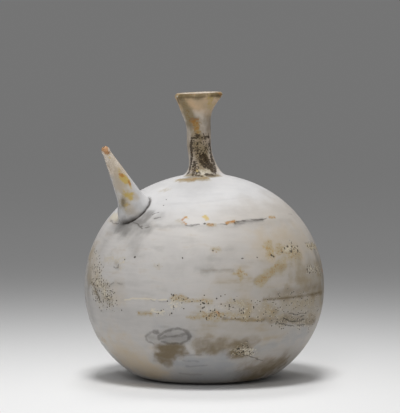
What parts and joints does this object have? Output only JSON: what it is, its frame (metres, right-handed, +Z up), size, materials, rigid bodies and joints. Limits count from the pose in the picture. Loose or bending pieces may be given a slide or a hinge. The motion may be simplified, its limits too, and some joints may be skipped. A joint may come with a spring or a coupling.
{
  "type": "spouted flask",
  "caption": "Free-blown glass flask with a squat round body, a narrow neck with a funnel mouth, and a slender conical spout on its shoulder.",
  "frame": {"origin": "middle of the flat foot, on the surface that the flask stands on", "axes": "+Z up through the body towards the mouth; the spout leans out towards -X and -Y"},
  "size_m": [0.0906, 0.0906, 0.1081],
  "materials": {
    "glass": "milky white weathered glass, satin, with brown soil and ochre stains"
  },
  "bodies": {
    "root": {"flask": "glass"}
  },
  "joints": []
}
